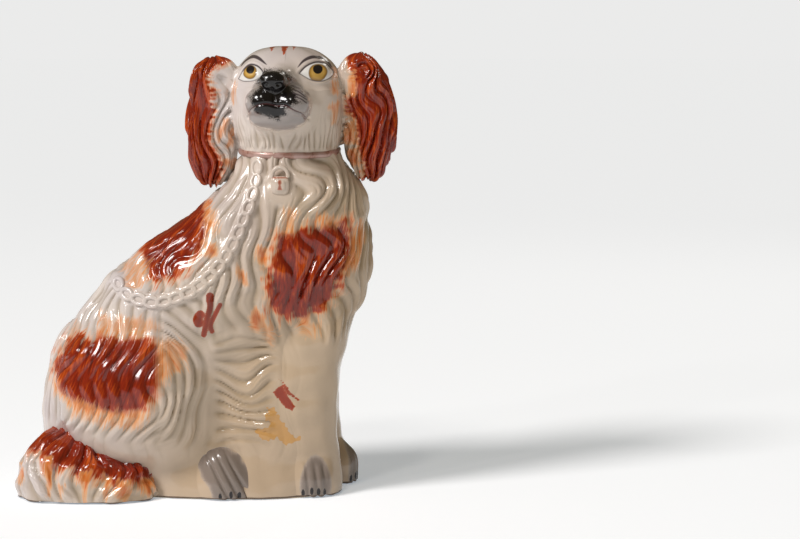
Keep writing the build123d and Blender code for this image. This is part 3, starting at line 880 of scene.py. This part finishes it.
# rounded masses of the muzzle: centre, half sizes and how softly each joins what is already there
MUZZLE = [
    ((54.5, -36, 280), (22, 21, 16), 9),
    ((56.5, -34, 300), (9, 14, 8), 8),
    ((52.5, -48, 297), (8.5, 12, 8.5), 4),
    ((44.0, -46, 283), (12.5, 13.5, 11), 4),
    ((65.0, -46, 282), (12.5, 13.5, 11), 4),
    ((54.5, -42, 271.5), (20, 14, 8), 2.5),
    ((51.0, -55, 299), (8.3, 6.5, 6.2), 2),
]
EYES = [  # lids, middle and radius of the iris, middle and radius of the pupil
    (curve_points([(25, 299), (28, 304.5), (33.5, 309), (39, 308.2), (43, 304), (41, 300.2), (37, 298),
                   (32.5, 297.3), (28, 297.6), (25, 299)], 5), (34.0, 303.8), 5.0, (34.3, 305.4), 3.0),
    (curve_points([(69, 303), (73, 307.5), (79.5, 310.8), (86, 310), (90.5, 306.5), (92.5, 302.8),
                   (89.5, 299.4), (84, 297.4), (78, 298), (73, 300.4), (69, 303)], 5),
     (81.3, 303.2), 6.2, (81.2, 305.4), 3.3),
]
BROWS = [curve_points([(26, 307.5), (29.5, 312), (34.5, 314.6), (39.5, 313.6), (46, 308.8)], 6),
         curve_points([(67.5, 307), (71.5, 311.6), (76.5, 314.2), (82, 314.2), (87, 312), (91.5, 306.5)], 6)]
MOUTH = curve_points([(32.5, 272), (35.5, 278), (42, 281.5), (48, 282.4), (54, 281), (60, 281), (67, 277.5),
                      (72, 275), (75.5, 271)], 6)
NOSTRIL_Z = 295.6
CLEFT = curve_points([(51.5, 293), (52.5, 288), (52.5, 282)], 6)
WHISKERS = [curve_points(line, 4) for line in (
    [(63.5, 295), (68, 293.3), (72.5, 290)], [(64, 292.6), (69, 291), (74.2, 287)],
    [(65, 290.2), (70, 288.5), (75.3, 285)], [(66.5, 287.7), (71, 286), (75.3, 282.6)])]
MUZZLE_GREY = [(32, 276), (33, 287), (38, 295), (43.4, 303), (48.4, 306), (56.4, 306), (61, 303), (66.5, 299),
               (74.5, 290), (77, 283), (76.4, 274), (72.5, 269), (64.4, 264.6), (52.4, 263.6), (42.3, 266),
               (35.3, 271)]
SOOT_PATCH = [(43.4, 297), (43.9, 303), (48.4, 305), (55.4, 305), (58.9, 303), (59.4, 298), (64.4, 294),
              (68.4, 288), (69.4, 283), (62.4, 280), (60.4, 276), (55.4, 271), (50.4, 273), (40.3, 276),
              (38.3, 280), (36.3, 284), (37.4, 289), (40.3, 292)]
CROWN_DABS = [[(44, 324), (52, 324), (48.5, 318.5)], [(54, 324), (61, 324), (57.5, 315.5)],
              [(61.5, 324), (67, 324), (64, 319.5)]]
DRIPS = [[(91.5, 306), (94, 306), (94.6, 300), (92.6, 300)], [(92, 297), (95.5, 297), (95, 289), (92.4, 289.5)],
         [(89.5, 279), (92, 281.5), (96, 282), (95, 277), (93.5, 268), (91.5, 268), (92, 275)],
         [(20, 297), (22.5, 297), (22.6, 290), (21.2, 282), (19.6, 283)]]

# enamel colours of the face, in the order they were laid on
CROWN_RED = layer("red", 1.2, 0.5, 0.0, (0.35, "b5532c", 0.0), (0.6, "9a3a1c", 0.95), (1.0, "8d2f16", 1.0))
MUZZLE_COAT = layer("grey", 1.4, 0.0, 0.5, (0.30, "a8a09b", 0.0), (0.55, "9b938e", 0.85), (1.0, "968e8a", 0.95))
SOOT = layer("soot", 4.0, 0.0, 2.6, (0.40, "1b1716", 0.0), (0.50, "1b1716", 0.75), (0.62, "161313", 1.0),
             (1.0, "120f10", 1.0))
LIPS = layer("lips", 0.7, 0.0, 0.0, (0.25, "4a1f1e", 0.0), (0.60, "431a1a", 0.9), (1.0, "3a1314", 0.95))
EYEWHITE = layer("eyewhite", 0.8, 0.0, 0.0, (0.3, "dcdad8", 0.0), (0.8, "dedcd9", 0.9), (1.0, "e0deda", 0.9))
IRIS = layer("iris", 2.2, 0.0, 0.0, (0.44, "5e4a24", 0.0), (0.56, "775a26", 0.95), (0.78, "ac8138", 1.0),
             (1.0, "c79f52", 1.0))
PUPIL = layer("pupil", 0.6, 0.0, 0.0, (0.3, "241c1c", 0.0), (0.7, "201a1b", 1.0), (1.0, "1b1617", 1.0))
LINES = layer("lines", 0.45, 0.0, 0.0, (0.2, "4a4046", 0.0), (0.8, "3f353b", 0.92), (1.0, "3a3035", 0.95))


def head_field(points):
    """Skull, neck and muzzle, cut off level at the joint with the body."""
    skin = egg(points, (58.5, 5, 284), (40, 40, 38), 2.5)
    skin = union(skin, np.maximum(stack(points, NECK), points[..., 2] - 288.0), 9)
    for centre, halves, soft in MUZZLE:
        skin = union(skin, egg(points, centre, halves), soft)
    return np.maximum(skin, NECK_Z - 1.0 - points[..., 2])


def bell(x, z, at_x, at_z, across, up):
    """1 at a place in the (x, z) plane, falling off round it."""
    return np.exp(-((x - at_x) / across) ** 2 - ((z - at_z) / up) ** 2)


def line_dig(x, z, line, half):
    """1 along a broken line, falling off either side of it."""
    return np.exp(-(near_line(x, z, line)[0] / half) ** 2)


def head_relief(points):
    """Height of the carving on the head in millimetres, with its flow and tone as for the body."""
    x, y, z = np.moveaxis(points, -1, 0)
    face = smooth(-8, -22, y) * smooth(0.15, 0.5, -facing(points)[..., 1])
    height = np.zeros(x.shape)
    for outline, *_ in EYES:
        edge = inside(x, z, outline)
        height += 1.0 * smooth(-0.3, 4.5, edge) + 0.5 * np.exp(-((edge + 1.6) / 1.2) ** 2)
        height += -0.35 * np.exp(-(edge / 0.7) ** 2)
    height += -1.1 * line_dig(x, z, MOUTH, 1.0) - 0.9 * line_dig(x, z, CLEFT, 1.2) * (y < -40)
    for side in (47.0, 55.6):
        wing = 0.8 * bell(x, z, side, NOSTRIL_Z + 2.6, 2.2, 1.2)
        height += (-2.0 * bell(x, z, side, NOSTRIL_Z, 1.7, 1.3) + wing) * (y < -40)
    height = height * face
    turned = np.clip(40.0 - np.abs(y - SEAM_Y), 0.0, 60.0) * np.sign(x - 58.5)
    wide = x + turned
    fringe = locks(wide, z, 5.4, 30.0, 0.7, 131)
    ragged = 4.0 * np.sin(wide / 4.1) * np.cos(wide / 9.0)
    low = smooth(248.5, 251.5, z) * (1.0 - smooth(256, 265, z + ragged))
    side = smooth(20, 34, np.abs(x - 58.5)) * (1.0 - smooth(262, 284, z + ragged)) * smooth(248.5, 253, z) * 0.7
    share = np.maximum(low, side)
    waves = locks(wide, z, 9.5, 52.0, 3.0, 137)
    back = smooth(12, 26, y) * smooth(250, 256, z) * (1.0 - smooth(309, 319, z))
    height = height + 1.9 * share * (fringe - 0.5) + 1.6 * back * (waves - 0.55)
    height = height + 0.25 * ripple(wide, z, 22.0, 139)
    tone = 0.78 + share * (fringe - 0.75) + back * 0.6 * (waves - 0.75)
    return height, np.stack([wide, z], -1), tone


def stroke(x, z, line, half, power=0.6):
    """Signed distance to a brush stroke that is widest in its middle and tapers to both ends."""
    gap, where = near_line(x, z, line)
    return half * np.sin(np.pi * where) ** power - gap


def head_paint(points):
    """Signed distances for every colour on the head."""
    x, y, z = np.moveaxis(points, -1, 0)
    eyes = [inside(x, z, outline) for outline, *_ in EYES]
    iris = [np.minimum(r - np.hypot(x - c[0], z - c[1]), e) for (_, c, r, _, _), e in zip(EYES, eyes)]
    pupil = [r - np.hypot(x - c[0], z - c[1]) for _, _, _, c, r in EYES]
    rims = [0.28 + 0.30 * smooth(-1, 3, z - c[1]) - np.abs(e) for (_, c, _, _, _), e in zip(EYES, eyes)]
    lines = rims + [stroke(x, z, line, 1.25) for line in BROWS]
    lines += [stroke(x, z, line, 0.45, 0.3) for line in WHISKERS]
    pad = 5.4 - np.hypot((x - 51.2) * 0.62, z - 298.8)
    wobble = ripple(x, z, 7.0, 141)
    grey = inside(x, z, MUZZLE_GREY) + 0.5 * wobble
    soot = np.maximum(inside(x, z, SOOT_PATCH) + 0.8 * wobble, pad + 2.0)
    face = {"grey": grey, "soot": soot, "eyewhite": np.max(eyes, axis=0), "iris": np.max(iris, axis=0),
            "pupil": np.max(pupil, axis=0), "lines": np.max(lines, axis=0),
            "lips": stroke(x, z, MOUTH, 0.75, 0.4) - 0.3}
    painted = {key: np.where(y < -8.0, np.clip(value, FAR, 40), FAR) for key, value in face.items()}
    painted["red"] = np.where(y < 4.0, np.clip(inside_any(x, z, CROWN_DABS), FAR, 40), FAR)
    painted["wash"] = np.where(y < 0.0, inside_any(x, z, DRIPS), FAR)
    return painted


def head_half(name, turn, count, crowd):
    """One half of the head, on a grid of `count` by `count` points drawn together at the face by `crowd`."""
    base, heading = wrap(head_field, (58.5, SEAM_Y, 284), (70, 82, 60), count, count, turn, "x", 0.05, crowd)
    height, flow, tone = head_relief(base)
    outer = carved(base, height)
    outer[..., 2] = np.clip(outer[..., 2], NECK_Z - 1.0, CROWN_Z)
    return shell(name, outer, base - heading * WALL, 6, head_paint(base) | hair(flow, tone))


head_glaze = painted_glaze("cream_glaze_head", [CROWN_RED, WASH, MUZZLE_COAT, SOOT, LIPS, EYEWHITE, IRIS, PUPIL,
                                                LINES])
for node, start, count, crowd in (("head_front_half", math.pi / 2, 301, 0.34),
                                  ("head_back_half", -math.pi / 2, 151, 0.0)):
    half = head_half(node + "_pressed", (start, start + math.pi), count, crowd)
    finish_piece(half, head_glaze, node)

# ------------------------------------------------------------------------------
# Ears: thick pressed flaps luted to the sides of the head. Their locks fall from the root and curl round a
# white disc at the top; the outer edge is iron red, brushed inwards in fine orange strokes over the cream.

RIGHT_EAR_RED = [(25, 313), (15, 312), (6, 307), (2, 301), (3, 294), (7, 288), (3, 283), (6, 277), (4, 268),
                 (3, 260), (2, 254), (8, 245), (12, 238), (9, 228), (0, 215), (-30, 215), (-30, 330), (25, 330)]
RIGHT_EAR_WASH = [[(10, 262), (15, 270), (17, 270), (13, 258), (10, 254)],
                  [(17, 258), (21, 268), (23, 266), (20, 256), (16, 250)], [(13, 241), (21, 241), (19, 234)],
                  [(22, 313), (25, 316), (25, 308)]]
LEFT_EAR_RED = [(99, 318), (104, 312), (107, 300), (108, 290), (103, 284), (103, 276), (109, 269), (110, 258),
                (111, 248), (115, 238), (114, 228), (160, 215), (160, 330), (99, 330)]
LEFT_EAR_WASH = [[(99, 253), (109, 253), (106, 269), (101, 266)],
                 [(101, 237), (110, 237), (109, 250), (103, 248)],
                 [(102, 288), (107, 288), (107, 303), (103, 301)]]
EAR_RED = ("red", 6.0, 1.2, 0.0, RED_PATCH[4])
# painted shade: a soft grey laid in the hollow of the ear's curl
HOLLOW_SHADE = layer("dimple", 5.0, 0.0, 0.0, (0.0, "8f8a88", 0.0), (0.5, "8f8a88", 0.0), (1.0, "8a8583", 0.6))


def ear(name, side, lower, upper, centre, disc, red_outline, washes, dimple):
    """One ear of two rounded masses. side is -1 for the dog's right ear and 1 for its left, disc is the middle
    of the curl, and dimple is how deep its hollow is; where it is not 0, painted shade is laid grey in the
    hollow."""
    def flap(points):
        return union(egg(points, *lower, 2.3), egg(points, *upper, 2.1), 8)

    base, _ = wrap(lambda points: grafted(flap(points), points, 3.5, head_field), centre, (46, 40, 66), 230,
                   250)
    x, y, z = np.moveaxis(base, -1, 0)
    out = side * (x - disc[0])  # how far outwards from the disc's middle
    above = np.clip(z - disc[1], 0.0, None)
    radius = np.where(z > disc[1], np.hypot(out, above), out)
    arc = np.where(z > disc[1], 22.0 * np.arctan2(above, np.clip(out, 0.5, None)), z - disc[1])
    turned = np.clip(y + 12.0, 0.0, 60.0)
    across = radius + 1.7 * turned * np.tanh((out - 8.0) / 5.0)
    shape = locks(across, -arc, 8.8, 50.0, 4.0, 151 + side)
    curl = np.hypot(x - disc[0], z - disc[1]) / 11.0
    strength = np.clip(smooth(0.75, 1.1, curl) + (y > 4), 0.0, 1.0)  # the disc itself is plain in front
    strength = strength * (1.0 - 0.35 * smooth(0, 14, y)) * (1.0 - 0.6 * smooth(306, 315, z))
    from_flap = smooth(0.5, 3.0, flap(base))
    height = 4.6 * strength * (shape - 0.52)
    height = height - 2.4 * np.exp(-(curl * 11.0 / 6.0) ** 2) * (y < 2) * dimple
    height = height * (1.0 - from_flap) + head_relief(base)[0] * from_flap
    red = inside(x, z, red_outline) + 0.6 * ripple(x, z, 6.0, 157) + 1.1 * ripple(arc, 0.2 * across, 3.4, 158)
    rim = side * (x - 58.5) - 52.0 - 1.5 * ripple(y, z, 14.0, 159) - 1.2 * np.clip(-y, 0, None)
    wash = np.where(y < 2.0, inside_any(x, z, washes), FAR)
    # the dimple attribute is painted shade in the front of the hollow
    painted = {"red": np.clip(np.maximum(red, rim), FAR, 40), "wash": np.clip(wash, FAR, 40),
               "dimple": np.where(y < 0.0, 5.0 - curl * 11.0, FAR) if dimple else np.full(x.shape, FAR)}
    painted |= hair(np.stack([across, arc], -1), 0.25 + 0.75 * shape)
    return closed_skin(name, carved(base, height, True), painted)


ear_glaze = painted_glaze("cream_glaze_ears", [EAR_RED, WASH, HOLLOW_SHADE])
for node, *form in (
    ("right_ear", -1, ((5, 1, 264), (18, 12.5, 42)), ((9, -1, 297), (17, 13, 18)), (7, 0, 272), (13, 299),
     RIGHT_EAR_RED, RIGHT_EAR_WASH, 1.0),
    ("left_ear", 1, ((117.5, 1, 266), (18.5, 12.5, 40)), ((110.5, 0, 297.5), (17, 13, 20)), (114, 0, 272),
     (106, 298), LEFT_EAR_RED, LEFT_EAR_WASH, 0.0),
):
    finish_piece(ear(node + "_pressed", *form), ear_glaze, node)

# ------------------------------------------------------------------------------
# Collar: a half-round band of clay laid over the joint of neck and head, brushed with gilding that has worn
# to a dull pinkish brown and is thin in places.

COLLAR_Z = 247.4
COLLAR_HALVES = (1.6, 2.3)  # how far the band stands proud and half its height


def skirting(field, centre, reach, z, count, deep=0.0):
    """A closed path of skin points at one height, and its outward unit headings."""
    turn = np.linspace(-np.pi, np.pi, count, endpoint=False)
    heading = np.stack([np.cos(turn), np.sin(turn), 0 * turn], -1)
    start = np.array([centre[0], centre[1], z]) + reach * heading
    path = land(start, -heading, field)
    along = np.roll(path, -1, axis=0) - np.roll(path, 1, axis=0)
    out = unit(np.stack([along[:, 1], -along[:, 0], 0 * along[:, 0]], -1))
    return path - out * deep, out


def ring_quads(rows, columns):
    """Quads of a grid that closes on itself both ways."""
    return grid_quads(rows + 1, columns, True)[:, ::-1] % (rows * columns)


def closed_ring(name, path, out, halves, around):
    """A tube of elliptical section round a closed level path: point + cos * half width outwards + sin * half
    height upwards."""
    turn = np.linspace(0.0, 2 * np.pi, around, endpoint=False)[None, :, None]
    tube = path[:, None] + halves[0] * np.cos(turn) * out[:, None] + halves[1] * np.sin(turn) * np.eye(3)[2]
    return write_mesh(name, tube.reshape(-1, 3), ring_quads(len(path), around))


def plain_glaze(name, base, second, gloss, scale, metal=0.0, coat=0.0):
    """A gilded or bare surface: one colour that wears unevenly to a second, with a faintly grainy skin."""
    material, tree, shader, place = begin_finish(name)
    wear = ranged(tree, noise(tree, place, scale, 4.0), 0.42, 0.60)
    give_skin(tree, shader, mixed(tree, wear, base, second), ranged(tree, wear, 0.0, 1.0, gloss, gloss + 0.12),
              noise(tree, place, 700.0, 2.0), 0.25, 0.0003, Metallic=metal, IOR=1.52, Coat_Weight=coat,
              Coat_Roughness=0.08)
    return material


neck_path, neck_out = skirting(head_field, (60.0, 3.5), 60.0, COLLAR_Z, 360, 0.2)
neck_path[:, 2] -= 2.2 * smooth(5.0, -34.0, neck_path[:, 1])  # it hangs a little lower in front
collar = closed_ring("collar_band_gilded", neck_path, neck_out, COLLAR_HALVES, 16)
gilding = plain_glaze("worn_gilding", hexed("9d7466"), hexed("b3938a"), 0.26, 95.0, 0.25, 0.4)
finish_piece(collar, gilding, "collar_band")

# ------------------------------------------------------------------------------
# Padlock: a sprigged case and shackle, pressed in a small mould and stuck on the chest under the collar. The
# glaze is cream, flushed pink, with a rust line along the top of the case and a brushed keyhole.

CASE_X, CASE_Z, CASE_HALF = LOCK_X + 0.3, 224.6, 6.6
BOW_HALF, BOW_RISE, BOW_RADIUS = 5.6, 7.2, 1.5
LOCK_MARK = layer("wash", 0.8, 0.15, 0.15, (0.30, "b0603c", 0.0), (0.60, "a3573a", 0.75), (1.0, "8f3d22", 0.9))
KEYHOLE = [(54.4, 228.6), (56.2, 228.6), (56.6, 226.6), (55.9, 225.2), (57.0, 221.6), (53.6, 221.6),
           (54.7, 225.2), (54.0, 226.6)]


def skin_spots(plane):
    """Skin points of the body straight behind places (x, z) on the decorated side, and their normals."""
    start = np.stack([plane[:, 0], np.full(len(plane), -100.0), plane[:, 1]], -1)
    spots = land(start, np.array([0.0, 1.0, 0.0]), body_field)
    near = 0.5
    slope = [body_field(spots + near * axis) - body_field(spots - near * axis) for axis in np.eye(3)]
    return spots, unit(np.stack(slope, -1))


case_spot, _ = skin_spots(np.array([(CASE_X, CASE_Z)]))
case_y = case_spot[0, 1] - 0.6


def case_field(points):
    """The lock's case: a boxy rounded pad with a raised middle."""
    pad = egg(points, (CASE_X, case_y, CASE_Z), (CASE_HALF, 3.4, CASE_HALF), 3.4)
    middle = egg(points, (CASE_X, case_y - 2.6, CASE_Z), (CASE_HALF * 0.62, 1.7, CASE_HALF * 0.62), 3.0)
    return union(pad, middle, 0.8)


def lock_marks(grid, wash=FAR, tone=0.75):
    """What the lock's glaze needs on a piece: its rust marks, if it has any, and a level tone."""
    level = 0.0 * grid[..., 0]
    return {"wash": wash + level} | hair(np.stack([grid[..., 0], grid[..., 2]], -1), tone + level)


case_grid, _ = wrap(case_field, (CASE_X, case_y, CASE_Z), (14, 12, 14), 90, 120)
case_x, case_front, case_z = case_grid[..., 0], case_grid[..., 1] < case_y, case_grid[..., 2]
top_line = 0.55 - np.abs(case_z - CASE_Z - CASE_HALF + 1.0)
rusty = np.where(case_front, np.maximum(inside(case_x, case_z, KEYHOLE), top_line), FAR)
lock_glaze = painted_glaze("cream_glaze_lock", [LOCK_MARK])
padlock = closed_skin("padlock_case_sprigged", case_grid, lock_marks(case_grid, rusty, 0.8))
finish_piece(padlock, lock_glaze, "padlock_case")

bow = np.linspace(0.0, np.pi, 40)
bow_plane = np.stack([CASE_X + BOW_HALF * np.cos(bow), CASE_Z + 5.6 + BOW_RISE * np.sin(bow) ** 0.8], -1)
bow_spots, _ = skin_spots(bow_plane)
bow_spots[:, 1] = np.minimum(bow_spots[:, 1], case_y + 1.0) - 0.3


def closed_rod(name, path, radius, around):
    """A round rod along an open path, closed with a face at either end. Its section turns with the path."""
    along = unit(np.gradient(path, axis=0))
    side = unit(np.cross(along, np.array([0.0, 1.0, 0.0])))
    up = np.cross(side, along)
    turn = np.linspace(0.0, 2 * np.pi, around, endpoint=False)[None, :, None]
    tube = path[:, None] + radius * (np.cos(turn) * side[:, None] - np.sin(turn) * up[:, None])
    return closed_skin(name, tube, lock_marks(tube))


shackle = closed_rod("padlock_shackle_sprigged", bow_spots, BOW_RADIUS, 20)
finish_piece(shackle, lock_glaze, "padlock_shackle")

# ------------------------------------------------------------------------------
# Chain: eighteen oval links in low relief over the shoulder, from the collar to the back. They were modelled
# with the body and stand on a raised band; each is a half-sunk ring of clay under the same cream glaze.

LINKS = 18
LINK_HALVES = (5.2, 3.2)  # along and across the chain
LINK_RADIUS = 1.7
LINK_STEPS, LINK_AROUND = 48, 16


def chain_of_links():
    """All the links as one mesh: ring i is path point + u * cos * half length + v * sin * half width, with
    u along the chain and v across it on the skin."""
    gone = np.concatenate([[0], np.cumsum(np.linalg.norm(np.diff(CHAIN_LINE, axis=0), axis=1))])
    places = (np.arange(LINKS) + 0.5) / LINKS * gone[-1]
    plane, ahead = (np.stack([np.interp(places + step, gone, CHAIN_LINE[:, i]) for i in (0, 1)], -1)
                    for step in (0.0, 1.0))
    spots, out = skin_spots(plane)
    along = skin_spots(ahead)[0] - spots
    along = unit(along - np.sum(along * out, -1, keepdims=True) * out)
    across = np.cross(out, along)
    chance = np.random.default_rng(163)
    ring = np.linspace(0.0, 2 * np.pi, LINK_STEPS, endpoint=False)[:, None]
    tube = np.linspace(0.0, 2 * np.pi, LINK_AROUND, endpoint=False)[None, :, None]
    long, wide = LINK_HALVES
    links = []
    for spot, u, v, up in zip(spots, along, across, out):
        grow = 1.0 + chance.uniform(-0.08, 0.08)
        centre = spot + 0.9 * up + np.cos(ring) * long * grow * u + np.sin(ring) * wide * grow * v
        away = unit(np.cos(ring) * u / long + np.sin(ring) * v / wide)
        links.append(centre[:, None] + LINK_RADIUS * (np.cos(tube) * away[:, None] + np.sin(tube) * up))
    points = np.reshape(links, (-1, 3))
    quads = ring_quads(LINK_STEPS, LINK_AROUND) + np.arange(LINKS)[:, None, None] * LINK_STEPS * LINK_AROUND
    return write_mesh("chain_links_relief", points, quads, lock_marks(points))


finish_piece(chain_of_links(), lock_glaze, "chain_links")

# ------------------------------------------------------------------------------
# Base slab: a flat sheet of clay that closes the foot of the figure. It was wiped clean of glaze before firing,
# so it shows pale buff biscuit, rubbed grey where it has stood, with a round vent hole under the haunch.

SLAB_TOP = 6.0
VENT_X, VENT_RADIUS = -55.0, 4.0


def slab():
    """A flat ring between the vent hole and the foot's outline: rings of points go out over the top, down the
    rounded edge and back under it, and each is joined to the next."""
    path, out = skirting(body_field, (-15.0, 6.0), 150.0, 4.0, 720)
    edge = path - out * 1.6
    turn = np.arctan2(edge[:, 1], edge[:, 0] - VENT_X)
    hole = np.stack([VENT_X + VENT_RADIUS * np.cos(turn), VENT_RADIUS * np.sin(turn), 0 * turn], -1)
    middle = (edge + hole) / 2
    levels = [(hole, SLAB_TOP), (middle, SLAB_TOP), (edge + out * -0.8, SLAB_TOP), (edge, SLAB_TOP - 0.8),
              (edge, 0.8), (edge + out * -0.8, 0.0), (middle, 0.0), (hole, 0.0)]
    grid = np.stack([np.stack([ring[:, 0], ring[:, 1], np.full(len(ring), z)], -1) for ring, z in levels])
    return write_mesh("base_slab_wiped", grid.reshape(-1, 3), ring_quads(*grid.shape[:2]))


# unglazed clay: two buffs in soft clouds, sandy grain and no gloss
biscuit = plain_glaze("biscuit_clay", hexed("d8c6aa"), hexed("bda78a"), 0.72, 30.0)
finish_piece(slab(), biscuit, "base_slab")

# ------------------------------------------------------------------------------
# Luting inside: rolls and strips of soft clay that the maker pressed over the joints from within, before the
# slab was put on, never seen. The one along the foot is drawn here; the others stand as their CAD solids.

roll_path, roll_out = skirting(body_field, (-15.0, 6.0), 150.0, 8.6, 360, 8.5)
base_roll = closed_ring("base_joint_roll_pressed", roll_path, roll_out, (2.6, 2.6), 12)
finish_piece(base_roll, biscuit, "base_joint_roll")

for node in ("neck_joint_ring", "body_seam_strip", "head_seam_strip"):
    for material_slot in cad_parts[node].material_slots:
        material_slot.material = biscuit
